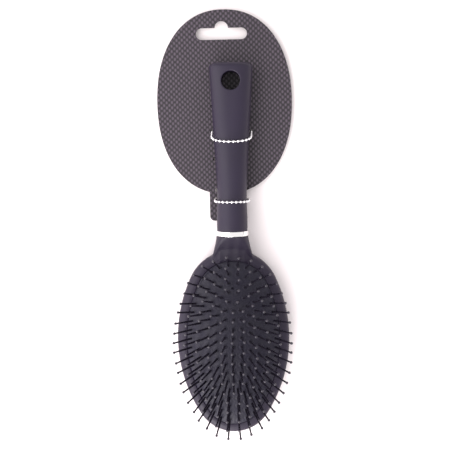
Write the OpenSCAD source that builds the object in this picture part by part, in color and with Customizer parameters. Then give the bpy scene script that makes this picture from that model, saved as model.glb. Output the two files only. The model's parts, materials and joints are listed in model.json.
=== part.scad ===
// Oval cushion hair brush, tied to its display card, lying on its back with the pins up.
// Millimetres. +Z is the way the pins point and +Y runs from the head towards the handle.
// The origin is on the flat land of the head's back, under the middle of the oval.

/* [Cushion] */
// Half length of the rubber cushion
pad_half_len = 53; // [48:0.5:64]
// Half width of the rubber cushion
pad_half_w = 29.3; // [26:0.1:36]
// Roundness of the cushion's end towards the handle: its radius as a share of the half width
pad_end_round = 0.792; // [0.7:0.01:0.83]
// Distance of the widest place from the middle, towards the handle
belly_y = 2.5; // [0:0.5:3]
// Height of the dome above the rim of the head
dome_h = 10; // [8:0.5:12]
// Thickness of the rubber
rubber_t = 1.6; // [1.2:0.1:2]
// Width of the rubber edge that is trapped in the head
pad_flange_w = 4.5; // [3.5:0.5:5]
// Radius of the air vent
vent_r = 0.75; // [0.5:0.05:1]
// Place of the air vent along the cushion
vent_y = 36.8; // [34:0.1:38]

/* [Pins] */
// Length of a pin outside the rubber
pin_len = 17.5; // [14:0.5:21]
// Radius of the shaft where it leaves the rubber
pin_base_r = 0.75; // [0.6:0.05:0.9]
// Radius of the shaft under the ball
pin_neck_r = 0.5; // [0.4:0.05:0.6]
// Radius of the ball at the tip
pin_ball_r = 0.88; // [0.7:0.05:1]
// Radius of the head under the rubber
pin_head_r = 1.4; // [1.2:0.1:1.6]
// Thickness of the head under the rubber
pin_head_t = 0.8; // [0.6:0.1:1]
// Distance from pin to pin along a row
pin_pitch = 5.6; // [5:0.1:7]
// Distance from one row to the next
row_gap = 5.4; // [4.8:0.1:5.5]
// Distance of the outer row from the inside of the rubber's wall
row_edge = 0.8; // [0.6:0.1:1.2]
// Lean of the pins across the cushion, as a share of the slope of the dome
lean_across = 1.06; // [0.9:0.02:1.1]
// Lean of the pins along the cushion, as a share of the slope of the dome
lean_along = 1.2; // [1:0.05:1.4]
// Most that a pin strays from its even lean, in degrees
pin_stray = 1.5; // [0:0.5:2]

/* [Head] */
// Width of the rim around the cushion
rim_w = 6.6; // [5.5:0.1:8]
// Height of the rim's top above the back
rim_z = 12; // [11:0.5:14]
// Thickness of the head's floor
floor_t = 3; // [2:0.5:3.5]
// Height of the ledge that the rubber edge lies on
ledge_z = 6.3; // [6:0.1:6.5]
// Thickness of the plate that clamps the rubber edge
carrier_t = 1.3; // [1:0.1:1.6]
// Half width of the neck where it leaves the head
neck_root_w = 12.5; // [11:0.1:14]
// Length of the neck from the head's oval to the ring
neck_len = 10; // [9:0.1:14]

/* [Handle] */
// Length of the grip
grip_len = 104; // [90:1:130]
// Half width of the grip at its end
grip_end_w = 13.75; // [12.5:0.25:17]
// Gain in half width for each millimetre of grip
grip_taper = 0.057; // [0.05:0.001:0.06]
// Half width added where the grip meets the ring
grip_flare = 1.85; // [1.5:0.05:2.5]
// Half thickness of the grip at the ring
grip_half_t = 9; // [8.5:0.1:11]
// Half thickness that the palm swell adds
grip_swell = 0.5; // [0:0.1:1]
// Radius of the rounded end
grip_end_r = 3; // [2:0.5:3.5]
// Radius of the hang hole
hang_r = 5.75; // [4.5:0.25:6]
// Distance of the hang hole's middle from the end of the grip
hang_inset = 11; // [10:0.5:14]
// Length of the metal ring along the handle
ring_len = 3.2; // [2.5:0.1:4]
// Wall of the metal ring
ring_wall = 1.2; // [1:0.1:1.5]
// Height that the metal ring stands proud of the neck
ring_proud = 0.25; // [0.1:0.05:0.4]
// Half width of the tang inside the grip
tang_half_w = 4.5; // [4:0.5:5.5]
// Half thickness of the tang inside the grip
tang_half_t = 4; // [3.5:0.5:4.5]
// Length of the tang inside the grip
tang_len = 52; // [40:1:60]

/* [Display card] */
// Half width of the oval card
card_half_w = 42.4; // [36:0.1:51]
// Half length of the oval card
card_half_len = 57.5; // [50:0.5:70]
// Thickness of the card
card_t = 0.7; // [0.5:0.1:1]
// Height of the card's lower face
card_z = 3; // [3:0.1:3.2]
// Distance of the card's middle from the ring
card_y = 83.2; // [81:0.1:85]
// Sideways shift of the card's middle
card_x = -4.4; // [-6:0.1:-4]
// Turn of the card, in degrees
card_turn = 0.55; // [0:0.05:1.5]
// Half width of the tab below the oval
tab_half_w = 10.5; // [9:0.5:11]
// Length of the tab below the oval
tab_len = 17.2; // [16:0.1:20]
// Radius of the tab's two corners
tab_corner_r = 3; // [2:0.5:5]
// Length of the hanging slot
slot_len = 32; // [30:1:34]
// Height of the hanging slot
slot_h = 7.2; // [6:0.2:8]
// Sideways shift of the hanging slot on the card
slot_x = -1.1; // [-2:0.1:2]
// Radius of the notch over the hanging slot
notch_r = 4.2; // [3.5:0.1:4.6]
// Radius of a tie hole
tie_hole_r = 1.3; // [1.2:0.1:1.5]

/* [Bead ties] */
// Radius of a bead
bead_r = 0.85; // [0.8:0.05:1]
// Distance from bead to bead
bead_pitch = 2.85; // [2.6:0.05:3.2]
// Radius of the wire between the beads
wire_r = 0.28; // [0.2:0.02:0.35]
// Radius of the sleeve that joins the two ends of a tie
sleeve_r = 1.35; // [1.3:0.05:1.4]
// Length of the sleeve that joins the two ends of a tie
sleeve_len = 7; // [6:0.5:9]
// Distance of the upper tie from the ring, on the front of the grip
upper_tie_y = 55.9; // [50:0.1:60]
// Distance of the lower tie from the ring, on the front of the grip
lower_tie_y = 18.7; // [17:0.1:22]
// Slope of the upper tie's loop
upper_tie_slope = 0.28; // [0:0.01:0.3]

/* [Hidden] */
$fn = 48;
ROWS = 5;
ARC_SIDES = 24;
LOFT_SIDES = 48;
BLACK = "#35323B";
RUBBER = "#2C2A33";
CHROME = "#E6E2E4";
CARD = "#4C4750";

// fits
pad_gap = 0.25;
pin_hole_gap = 0.06;
pin_head_gap = 0.25;
boss_gap = 0.3;
peg_gap = 0.05;
peg_end_gap = 0.6;
carrier_gap = 0.4;
ledge_step = 1;
tang_gap = 0.15;
spigot_gap = 0.05;
tie_gap = 0.3;
sleeve_gap = 0.05;
ring_gap = 0.1;
grip_z0 = card_z + card_t + tie_gap;

// heights inside the head
flange_t = rubber_t * 0.7;
carrier_z = ledge_z + flange_t;

// places along the brush
oval_end = pad_half_len + rim_w;
ring_y0 = oval_end + neck_len;
grip_y0 = ring_y0 + ring_len;
grip_y1 = grip_y0 + grip_len;
hang_y = grip_y1 - hang_inset;

// An oval of two end arcs and two side arcs that meet without a corner, as
// [half length up, half length down, half width, side radius, upper end radius, lower end radius];
// up is towards the handle, and both half lengths count from the widest place
function oval(up, down, w, r) =
    let (sr = (w * w + (up - r) * (up - r) - r * r) / (2 * (w - r)))
    [up, down, w, sr, r, (w * w + down * down - 2 * sr * w) / (2 * (down - sr))];
// The same kind of oval, sunk by d, with ends that stay as round as its width allows
function sunk(o, d) = oval(o[0] - d, o[1] - d, o[2] - d, o[4] * (o[2] - d) / o[2]);
function side_c(o) = o[3] - o[2];
function join_a(o, up) = atan2(up ? o[0] - o[4] : o[1] - o[5], side_c(o));

pad = oval(pad_half_len - belly_y, pad_half_len + belly_y, pad_half_w, pad_half_w * pad_end_round);

// the dome: a circle across the cushion, swept along a longer one
across_r = (pad_half_w * pad_half_w + dome_h * dome_h) / (2 * dome_h);
along_r = (pad_half_len * pad_half_len + dome_h * dome_h) / (2 * dome_h);
dome_top = rim_z + dome_h;
sweep_r = along_r - across_r;
sweep_z = dome_top - along_r;
dome_reach = asin(pad_half_len / along_r) + 12;

// ---------- ovals ----------

// Arcs of the cushion's oval, anticlockwise, as [centre, radius, first angle, last angle]
pad_arcs = let (up = join_a(pad, true), down = join_a(pad, false)) [
    [[-side_c(pad), 0], pad[3], -down, up],
    [[0, pad[0] - pad[4]], pad[4], up, 180 - up],
    [[side_c(pad), 0], pad[3], 180 - up, 180 + down],
    [[0, pad[5] - pad[1]], pad[5], 180 + down, 360 - down]];

// Ring of points at the distance d outside the cushion's edge
function oval_ring(d, z) = [for (a = pad_arcs) for (i = [0 : ARC_SIDES - 1])
    let (t = a[2] + (a[3] - a[2]) * i / ARC_SIDES, r = a[1] + d)
    [a[0][0] + r * cos(t), a[0][1] + belly_y + r * sin(t), z]];

// The cushion's oval, grown by d
module oval_2d(d) {
    polygon([for (p = oval_ring(d, 0)) [p[0], p[1]]]);
}

module oval_block(d, z0, z1) {
    translate([0, 0, z0]) linear_extrude(z1 - z0) oval_2d(d);
}

// ---------- the dome ----------

// Solid under the dome's outer face, sunk by t
module dome_under(t) {
    translate([0, 0, sweep_z]) rotate([0, -90, 0]) rotate([0, 0, -dome_reach])
        rotate_extrude(angle = 2 * dome_reach) translate([sweep_r, 0]) circle(r = across_r - t, $fn = 96);
}

// Angles of the dome's outward direction at a place, [across, along]
function tilt_across(x) = asin(x / across_r);
function tilt_along(x, y) = asin(y / (sweep_r + across_r * cos(tilt_across(x))));
function dome_z(x, y) = sweep_z + (sweep_r + across_r * cos(tilt_across(x))) * cos(tilt_along(x, y));

// ---------- pin places ----------

// Length of a quarter of an oval, and its point at the distance s from the widest place
function quarter(o, up) =
    let (r = up ? o[4] : o[5], ja = join_a(o, up)) PI / 180 * (o[3] * ja + r * (90 - ja));
function quarter_point(o, up, s) =
    let (r = up ? o[4] : o[5], e = (up ? o[0] : o[1]) - r, ja = join_a(o, up), side = PI / 180 * o[3] * ja)
    s < side ? let (t = s / o[3] * 180 / PI) [o[3] * cos(t) - side_c(o), o[3] * sin(t)]
             : let (t = ja + (s - side) / r * 180 / PI) [r * cos(t), e + r * sin(t)];
function oval_length(o) = 2 * (quarter(o, true) + quarter(o, false));
// The point at the distance s round an oval, from its foremost point towards the handle
function oval_point(o, s) =
    let (right = s < oval_length(o) / 2, e = right ? s : oval_length(o) - s,
         q = quarter(o, true), up = e < q, p = quarter_point(o, up, up ? q - e : e - q))
    [p[0] * (right ? 1 : -1), belly_y + p[1] * (up ? 1 : -1)];

// Row 1 is the outer one
function row_inset(row) = rubber_t + row_edge + (row - 1) * row_gap;
function row_oval(row) = sunk(pad, row_inset(row));
function row_count(row) = 2 * round(oval_length(row_oval(row)) / 2 / pin_pitch);
function row_point(row, i) =
    let (o = row_oval(row)) oval_point(o, (i + 0.5) * oval_length(o) / row_count(row));

// A pin stands on an end of its row where the row turns round the cushion's end arc
end_turn = pad[0] - pad[4] + 3;
function on_end(row, i) = abs(row_point(row, i)[1]) > end_turn - row_inset(row) * 0.5;

centre_half = pad_half_len - row_inset(ROWS + 1);
centre_count = 2 * floor(centre_half / pin_pitch) + 1;
function centre_point(i) = [0, (i - (centre_count - 1) / 2) * pin_pitch];

function all_points() = concat(
    [for (row = [1 : ROWS]) for (i = [0 : row_count(row) - 1]) row_point(row, i)],
    [for (i = [0 : centre_count - 1]) centre_point(i)]);

// An uneven but fixed angle for each place, different for each kind
function stray(p, kind) = pin_stray * sin(7919 * p[0] + 4271 * p[1] * kind + 131 * kind);

// Stands the children on the dome at p, leaning as a pin does
module on_dome(p) {
    translate([p[0], p[1], dome_z(p[0], p[1])])
        rotate([stray(p, 1) - lean_along * tilt_along(p[0], p[1]), 0, 0])
            rotate([0, stray(p, 2) + lean_across * tilt_across(p[0]), 0])
                children();
}

// ---------- pins ----------

// Head under the rubber, tapered shaft and ball tip; the origin is where the shaft leaves the rubber
module pin() {
    under = rubber_t + pin_head_gap + pin_head_t;
    translate([0, 0, -under]) cylinder(h = pin_len - pin_ball_r + under, r1 = pin_base_r, r2 = pin_neck_r);
    translate([0, 0, -under]) cylinder(h = pin_head_t, r = pin_head_r);
    translate([0, 0, pin_len - pin_ball_r]) sphere(r = pin_ball_r);
}

module pin_row(row, ends) {
    color(BLACK) for (i = [0 : row_count(row) - 1])
        if (on_end(row, i) == ends) on_dome(row_point(row, i)) pin();
}

module centre_pins() {
    color(BLACK) for (i = [0 : centre_count - 1]) on_dome(centre_point(i)) pin();
}

// ---------- head ----------

function ellipse_arc(cx, cz, rx, rz, a0, a1, n) =
    [for (i = [0 : n]) let (t = a0 + (a1 - a0) * i / n) [cx + rx * cos(t), cz + rz * sin(t)]];

// Outline of the head's edge from the rim's top round to the flat land,
// as [distance outside the cushion, height]
land_in = 8;
rim_round_w = 5;
rim_round_h = 4.5;
function head_outline() =
    let (mid_z = rim_z - rim_round_h)
    concat(
        ellipse_arc(rim_w - rim_round_w, mid_z, rim_round_w, rim_round_h, 90, 0, 8),
        ellipse_arc(-land_in, mid_z, land_in + rim_w, mid_z, -9, -90, 9));

// Loft through rings that hold the same number of points each
module loft(rings) {
    n = len(rings[0]);
    m = len(rings);
    polyhedron(
        points = [for (r = rings) each r],
        faces = concat(
            [[for (i = [n - 1 : -1 : 0]) i]],
            [[for (i = [0 : n - 1]) (m - 1) * n + i]],
            [for (j = [0 : m - 2]) for (i = [0 : n - 1]) for (f = [0, 1])
                let (p = j * n + i, q = j * n + (i + 1) % n)
                f == 0 ? [p, q + n, p + n] : [p, q, q + n]]));
}

// Upright ring of points from [y, half width, half thickness, middle height, roundness]
function upright_ring(s) = [for (i = [0 : LOFT_SIDES - 1])
    let (t = 360 * i / LOFT_SIDES, c = cos(t), v = sin(t), e = 2 / s[4])
    [s[1] * sign(c) * pow(abs(c), e), s[0], s[3] + s[2] * sign(v) * pow(abs(v), e)]];

// Neck: it swells from the ring into the head, with a flat tongue from the rim up towards the ring
neck_w = 9.9;
neck_t = grip_half_t;
neck_z = grip_z0 + grip_half_t;
neck_root_t = neck_t - 0.7;
neck_root_z = neck_z - 1.4;
neck_roundness = 2.1;
neck_curve = 1.25;
neck_root_in = 1.9;
neck_start_in = rim_w - 1.7;
tongue_in = 4.5;
tongue_drop = 0.7;
tongue_slope = atan2(neck_z + neck_t - tongue_drop - rim_z, tongue_in + neck_len);
function neck_ring(y) =
    let (k = pow(max(ring_y0 - y, 0) / (neck_len + neck_root_in), neck_curve))
    [y, neck_w + (neck_root_w - neck_w) * k, neck_t + (neck_root_t - neck_t) * k,
        neck_z + (neck_root_z - neck_z) * k, neck_roundness];
module neck() {
    steps = 12;
    difference() {
        loft([for (i = [0 : steps])
            upright_ring(neck_ring(ring_y0 - (neck_len + neck_start_in) * (1 - i / steps)))]);
        translate([0, oval_end - tongue_in, rim_z]) rotate([tongue_slope, 0, 0])
            translate([-30, -60, 0]) cube([60, 120, 40]);
    }
}

// Pegs of the carrier plate and the bosses that take them
boss_x = 12;
boss_y = 32;
boss_places = [for (sx = [-1, 1]) for (sy = [-1, 1]) [sx * boss_x, sy * boss_y]];
boss_r = 3;
boss_sink = 0.5;
peg_r = 1.5;
module boss() {
    difference() {
        translate([0, 0, -boss_sink]) cylinder(h = carrier_z - floor_t - boss_gap + boss_sink, r = boss_r);
        cylinder(h = carrier_z, r = peg_r + peg_gap);
    }
}

module head_body() {
    color(BLACK) {
        difference() {
            loft([for (p = head_outline()) oval_ring(p[0], p[1])]);
            oval_block(pad_gap, ledge_z, rim_z + 1);
            oval_block(-pad_flange_w - ledge_step, floor_t, ledge_z + 1);
        }
        neck();
        for (p = boss_places) translate([p[0], p[1], floor_t]) boss();
        spigot();
    }
}

// Spigot through the ring, and the tang that fills the grip's socket
module spigot() {
    inner = ring_wall - ring_proud + ring_gap;
    root = 1;
    translate([0, ring_y0 - root, 0]) y_extrude(ring_len + root - spigot_gap) translate([0, neck_z])
        ellipse_2d(neck_w - inner, neck_t - inner);
    translate([-tang_half_w, grip_y0 - root, neck_z - tang_half_t])
        cube([2 * tang_half_w, tang_len + root, 2 * tang_half_t]);
}

module y_extrude(h) {
    translate([0, h, 0]) rotate([90, 0, 0]) linear_extrude(h) children();
}

module ellipse_2d(rx, rz) {
    polygon([for (i = [0 : 71]) [rx * cos(5 * i), rz * sin(5 * i)]]);
}

// Plate that clamps the rubber's edge on the ledge, with four pegs and air openings
air_r = 4;
air_y = boss_y * 0.6;
module pad_carrier() {
    color("#4A4650") difference() {
        union() {
            oval_block(-rubber_t - carrier_gap, carrier_z, carrier_z + carrier_t);
            for (p = boss_places) translate([p[0], p[1], floor_t + peg_end_gap])
                cylinder(h = carrier_z - floor_t, r = peg_r);
        }
        for (y = [-air_y, 0, air_y]) translate([0, y, 0]) cylinder(h = rim_z, r = air_r);
    }
}

// ---------- cushion ----------

module cushion_pad() {
    color(RUBBER) difference() {
        intersection() {
            oval_block(0, ledge_z, dome_top + 1);
            dome_under(0);
        }
        intersection() {
            oval_block(-rubber_t, carrier_z, dome_top + 1);
            dome_under(rubber_t);
        }
        oval_block(-pad_flange_w, ledge_z - 1, carrier_z + 0.01);
        for (p = all_points()) on_dome(p)
            translate([0, 0, -rubber_t - 1]) cylinder(h = rubber_t + 2, r = pin_base_r + pin_hole_gap);
        translate([0, vent_y, rim_z]) cylinder(h = dome_h + 1, r = vent_r);
    }
}

// ---------- handle ----------

// Half width, half thickness and roundness of the grip at the distance s from the ring
flare_len = 17;
swell_len = 70;
function grip_w(s) = grip_end_w - grip_taper * (grip_len - s) + grip_flare * exp(-pow(s / flare_len, 2));
function grip_t(s) = grip_half_t + grip_swell * (1 - cos(180 * min(s / swell_len, 1))) / 2;
function grip_n(s) = 2.1 + 0.8 * pow(s / grip_len, 2);
function grip_ring(s, inset) =
    upright_ring([grip_y0 + s, grip_w(s) - inset, grip_t(s) - inset, grip_z0 + grip_t(s), grip_n(s)]);

module handle_grip() {
    steps = 26;
    turns = 6;
    color(BLACK) difference() {
        loft(concat(
            [for (i = [0 : steps]) grip_ring((grip_len - grip_end_r) * i / steps, 0)],
            [for (i = [1 : turns]) let (t = 90 * i / turns)
                grip_ring(grip_len - grip_end_r * (1 - sin(t)), grip_end_r * (1 - cos(t)))]));
        translate([-tang_half_w - tang_gap, grip_y0 - 1, neck_z - tang_half_t - tang_gap])
            cube([2 * (tang_half_w + tang_gap), tang_len + 2, 2 * (tang_half_t + tang_gap)]);
        translate([0, hang_y, 0]) cylinder(h = 60, r = hang_r);
    }
}

seam_w = 0.2;
// Rolled metal ring between the neck and the grip, with the seam of its strip
module ferrule_ring() {
    color(CHROME) translate([0, ring_y0, 0]) y_extrude(ring_len) translate([0, neck_z]) difference() {
        ellipse_2d(neck_w + ring_proud, neck_t + ring_proud);
        ellipse_2d(neck_w + ring_proud - ring_wall, neck_t + ring_proud - ring_wall);
        rotate(50) translate([0, -seam_w / 2]) square([20, seam_w]);
    }
}

// ---------- display card ----------

module on_card() {
    translate([card_x, ring_y0 + card_y]) rotate(card_turn) children();
}

// Place of a tie's right hole in the card
function tie_hole(s, slope) = let (y = tie_y(s, slope, card_z)) [tie_x(y - grip_y0), y];

// Spare holes for other goods, [half spacing, y] from the middle of the card
spare_holes = [[7.6, -2], [6.8, -35.3], [5.9, -55]];
slot_drop = 14.9;
card_roundness = 2.2;

module card_oval() {
    e = 2 / card_roundness;
    polygon([for (i = [0 : 119]) let (c = cos(3 * i), v = sin(3 * i))
        [card_half_w * sign(c) * pow(abs(c), e), card_half_len * sign(v) * pow(abs(v), e)]]);
}

module hanging_slot() {
    half = (slot_len - slot_h) / 2;
    square([2 * half, slot_h], center = true);
    for (x = [-half, half]) translate([x, 0]) circle(r = slot_h / 2);
    translate([0, slot_h / 2 - 0.1]) circle(r = notch_r);
}

// Tab with two round corners at its foot; it reaches a little way into the oval
module card_tab() {
    r = tab_corner_r;
    translate([-tab_half_w, r]) square([2 * tab_half_w, tab_len]);
    translate([r - tab_half_w, 0]) square([2 * (tab_half_w - r), tab_len]);
    for (x = [r - tab_half_w, tab_half_w - r]) translate([x, r]) circle(r = r);
}

module display_card() {
    color(CARD) translate([0, 0, card_z]) linear_extrude(card_t) difference() {
        on_card() difference() {
            union() {
                card_oval();
                translate([0, -card_half_len - tab_len]) card_tab();
            }
            translate([slot_x, card_half_len - slot_drop]) hanging_slot();
            for (h = spare_holes) for (x = [-h[0], h[0]]) translate([x, h[1]]) circle(r = tie_hole_r);
        }
        upper = tie_hole(upper_tie_y, upper_tie_slope);
        lower = tie_hole(lower_tie_y, 0);
        for (p = [upper, [-upper[0], upper[1]], [-lower[0], lower[1]]]) translate(p) circle(r = tie_hole_r);
    }
}

// ---------- bead ties ----------

function tie_x(s) = grip_w(s) + bead_r + tie_gap;
function tie_top(s) = grip_z0 + 2 * grip_t(s) + bead_r + tie_gap;
// The loop leans towards the end of the grip as it goes down to the card
function tie_y(s, slope, z) = grip_y0 + s + slope * (tie_top(s) - max(z, card_z));

tie_bend_r = 1.6;
// Closed loop round the grip and the card, as [x, z]; it starts under the card, at the middle
function tie_loop(s) =
    let (x = tie_x(s), t = grip_t(s) + bead_r + tie_gap, zc = grip_z0 + grip_t(s),
         zu = sleeve_r, r = tie_bend_r)
    concat(
        [[0, zu]],
        [for (i = [0 : 6]) [x - r + r * sin(15 * i), zu + r - r * cos(15 * i)]],
        [for (i = [0 : 36]) let (c = cos(5 * i), e = 2 / grip_n(s))
            [x * sign(c) * pow(abs(c), e), zc + t * pow(sin(5 * i), e)]],
        [for (i = [6 : -1 : 0]) [-x + r - r * sin(15 * i), zu + r - r * cos(15 * i)]],
        [[0, zu]]);

// Running length at each point of a path
function run(p, i = 1, sum = 0, out = [0]) =
    i >= len(p) ? out : run(p, i + 1, sum + norm(p[i] - p[i - 1]), concat(out, sum + norm(p[i] - p[i - 1])));

function tie_path(s, slope) =
    [for (p = tie_loop(s)) let (y = tie_y(s, slope, p[1]))
        [p[0] * tie_x(y - grip_y0) / tie_x(s), y, p[1]]];

// Bead centres, equally spaced round the loop
function bead_centres(s, slope) =
    let (p = tie_path(s, slope), d = run(p), total = d[len(d) - 1], n = round(total / bead_pitch))
    [for (i = [0 : n - 1]) let (at = total * (i + 0.5) / n)
        [for (k = [0 : 2]) lookup(at, [for (j = [0 : len(p) - 1]) [d[j], p[j][k]]])]];

module wire(a, b) {
    v = b - a;
    translate(a) rotate([0, acos(v[2] / norm(v)), atan2(v[1], v[0])])
        cylinder(h = norm(v), r = wire_r, $fn = 16);
}

module tie_chain(s, slope) {
    c = bead_centres(s, slope);
    n = len(c);
    color(CHROME) for (i = [0 : n - 1]) {
        v = c[(i + 1) % n] - c[(i + n - 1) % n];
        translate(c[i]) rotate([0, -90 - atan2(v[2], v[0]), 0]) rotate([90, 0, 0]) sphere(r = bead_r);
        wire(c[i], c[(i + 1) % n]);
    }
}

// Folded sleeve over the two end beads, behind the card
module tie_sleeve(s, slope) {
    start = [-sleeve_len / 2, tie_y(s, slope, sleeve_r), sleeve_r];
    color(CHROME) translate(start) rotate([0, 90, 0]) difference() {
        cylinder(h = sleeve_len, r = sleeve_r);
        translate([0, 0, -1]) cylinder(h = sleeve_len + 2, r = bead_r + sleeve_gap);
    }
}

head_body();
pad_carrier();
cushion_pad();
ferrule_ring();
handle_grip();
display_card();
tie_chain(upper_tie_y, upper_tie_slope);  // upper_tie_chain
tie_sleeve(upper_tie_y, upper_tie_slope);  // upper_tie_sleeve
tie_chain(lower_tie_y, 0);  // lower_tie_chain
tie_sleeve(lower_tie_y, 0);  // lower_tie_sleeve
centre_pins();
pin_row(1, false);  // side_pins_row_1
pin_row(1, true);  // end_pins_row_1
pin_row(2, false);  // side_pins_row_2
pin_row(2, true);  // end_pins_row_2
pin_row(3, false);  // side_pins_row_3
pin_row(3, true);  // end_pins_row_3
pin_row(4, false);  // side_pins_row_4
pin_row(4, true);  // end_pins_row_4
pin_row(5, false);  // side_pins_row_5
pin_row(5, true);  // end_pins_row_5
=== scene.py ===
"""Looks of an oval cushion hair brush that is tied to its display card and lies on its back.

Shapes are worked out in millimetres in the brush's own frame: +Z is the way the pins point,
+Y runs from the head towards the end of the handle, and the origin is under the cushion's middle.
"""
import json
import math

import bmesh
import bpy
import numpy as np
from mathutils import Matrix, Vector


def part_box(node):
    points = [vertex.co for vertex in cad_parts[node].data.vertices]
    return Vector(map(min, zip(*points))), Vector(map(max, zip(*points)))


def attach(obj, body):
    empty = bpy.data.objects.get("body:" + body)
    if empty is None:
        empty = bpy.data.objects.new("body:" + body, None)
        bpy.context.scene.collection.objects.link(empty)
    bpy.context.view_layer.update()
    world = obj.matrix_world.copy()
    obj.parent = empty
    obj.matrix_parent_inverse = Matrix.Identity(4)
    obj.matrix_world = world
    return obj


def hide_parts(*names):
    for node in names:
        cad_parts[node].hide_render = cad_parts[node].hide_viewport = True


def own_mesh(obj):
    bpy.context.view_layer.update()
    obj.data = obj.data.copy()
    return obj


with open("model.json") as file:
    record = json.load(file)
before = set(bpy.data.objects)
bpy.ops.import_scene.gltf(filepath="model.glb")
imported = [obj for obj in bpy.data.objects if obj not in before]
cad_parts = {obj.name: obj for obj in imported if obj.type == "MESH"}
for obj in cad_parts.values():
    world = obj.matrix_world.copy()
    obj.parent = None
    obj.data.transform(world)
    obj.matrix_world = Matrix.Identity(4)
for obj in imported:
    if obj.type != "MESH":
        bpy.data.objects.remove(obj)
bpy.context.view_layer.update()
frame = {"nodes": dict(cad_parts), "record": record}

MM = 0.001


def box_mm(node):
    return [np.array(corner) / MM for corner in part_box(node)]


# ---------- sizes from the frame ----------

PAD_LOW, PAD_HIGH = box_mm("cushion_pad")
RING_LOW, RING_HIGH = box_mm("ferrule_ring")
GRIP_LOW, GRIP_HIGH = box_mm("handle_grip")
CARD_LOW, CARD_HIGH = box_mm("display_card")

# ---------- sizes of the head and its cushion ----------

PAD_HALF_W = PAD_HIGH[0]
PAD_HALF_LEN = PAD_HIGH[1]
PAD_END_ROUND = 0.792  # radius of the end towards the handle, as a share of the half width
BELLY_Y = 2.5  # the widest place, from the middle towards the handle
RIM_Z = 12.0
DOME_H = 10.0
LEDGE_Z = PAD_LOW[2]
FLOOR_T = 3.0
RUBBER_T = 1.6
FLANGE_W = 4.5  # rubber edge that is trapped in the head
FLANGE_T = 1.12
FLANGE_STEP = 1.0
PAD_GAP = 0.25
VENT_Y = 36.8
VENT_R = 0.75
RIM_W = 6.6
LAND_IN = 8.0  # edge of the flat land on the back, inside the cushion's edge
RIM_ROUND_W = 5.0
RIM_ROUND_H = 4.5
WELL_CORNER_R = 0.5
SEAT_CORNER_R = 0.3
MOUTH_EDGE_R = 0.15

# ---------- sizes of the neck and the grip ----------

RING_Y0, GRIP_Y0, GRIP_Y1 = RING_LOW[1], GRIP_LOW[1], GRIP_HIGH[1]
GRIP_Z0 = GRIP_LOW[2]
GRIP_LEN = GRIP_Y1 - GRIP_Y0
GRIP_HALF_T = 9.0
GRIP_SWELL, GRIP_SWELL_LEN = 0.5, 70.0
GRIP_END_W = GRIP_HIGH[0]
GRIP_TAPER = 0.057
GRIP_FLARE, GRIP_FLARE_LEN = 1.85, 17.0
GRIP_ROUNDNESS, GRIP_ROUNDNESS_GAIN = 2.1, 0.8
GRIP_END_R = 3.0
GRIP_START_R = 0.3
HANG_Y = GRIP_Y1 - 11.0
HANG_R = 5.75
HANG_EDGE_R = 0.35
NECK_W = 9.9
NECK_T = GRIP_HALF_T
NECK_Z = GRIP_Z0 + GRIP_HALF_T
NECK_LEN = 10.0
NECK_ROUNDNESS = 2.1
NECK_EDGE_R = 0.25
NECK_START_Y = PAD_HALF_LEN + 1.7
NECK_ROOT_IN = 1.9  # the root lies this far inside the head's oval
NECK_ROOT_W = 12.5
NECK_ROOT_DROP = 1.4
NECK_ROOT_THIN = 0.7
NECK_CURVE = 1.25
NECK_MOST_FLARE = 1.25
TONGUE_IN = 4.5  # the tongue starts this far inside the head's oval
TONGUE_DROP = 0.7
TONGUE_EDGE_R = 0.9
SIDE_FILLET_R = 1.5
TONGUE_FILLET_R = 6.5
RING_PROUD = 0.25
RING_WALL = 1.2
RING_GAP = 0.1
SPIGOT_GAP = 0.05
SPIGOT_ROOT = 1.0  # the spigot and the tang start this far inside what carries them
TANG_HALF = (4.5, 4.0)
TANG_LEN = 52.0
TANG_GAP = 0.15
TANG_END_GAP = 1.0
TANG_EDGE_R = 0.5


# ---------- the oval and the dome ----------

def oval(up, down, half_w, end_r):
    """Half lengths up and down from the widest place, half width, and radii of the side, up and down
    arcs. Up is towards the handle."""
    side_r = (half_w**2 + (up - end_r) ** 2 - end_r**2) / (2 * (half_w - end_r))
    low_r = (half_w**2 + down**2 - 2 * side_r * half_w) / (2 * (down - side_r))
    return up, down, half_w, side_r, end_r, low_r


PAD_UP, PAD_DOWN, _, SIDE_R, UP_R, DOWN_R = oval(
    PAD_HALF_LEN - BELLY_Y, PAD_HALF_LEN + BELLY_Y, PAD_HALF_W, PAD_END_ROUND * PAD_HALF_W)
SIDE_C = SIDE_R - PAD_HALF_W
JOIN_UP = math.atan2(PAD_UP - UP_R, SIDE_C)
JOIN_DOWN = math.atan2(PAD_DOWN - DOWN_R, SIDE_C)


def outside_oval(x, y):
    """Distance outside the cushion's edge, negative inside it."""
    x = np.abs(x)
    y = y - BELLY_Y
    turn = np.arctan2(y, x + SIDE_C)
    side = np.hypot(x + SIDE_C, y) - SIDE_R
    up = np.hypot(x, y - (PAD_UP - UP_R)) - UP_R
    down = np.hypot(x, y + (PAD_DOWN - DOWN_R)) - DOWN_R
    return np.where(turn > JOIN_UP, up, np.where(turn < -JOIN_DOWN, down, side))


def oval_ring(distance, step):
    """Points round the oval at a distance outside the cushion's edge, about a step apart."""
    arcs = [((-SIDE_C, 0), SIDE_R, -JOIN_DOWN, JOIN_UP),
            ((0, PAD_UP - UP_R), UP_R, JOIN_UP, math.pi - JOIN_UP),
            ((SIDE_C, 0), SIDE_R, math.pi - JOIN_UP, math.pi + JOIN_DOWN),
            ((0, DOWN_R - PAD_DOWN), DOWN_R, math.pi + JOIN_DOWN, 2 * math.pi - JOIN_DOWN)]
    points = []
    for (cx, cy), r, start, end in arcs:
        count = max(8, round(r * (end - start) / step))
        turn = start + (end - start) * np.arange(count) / count
        points.append(np.stack([cx + (r + distance) * np.cos(turn),
                                cy + BELLY_Y + (r + distance) * np.sin(turn)], axis=1))
    return np.concatenate(points)


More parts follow.
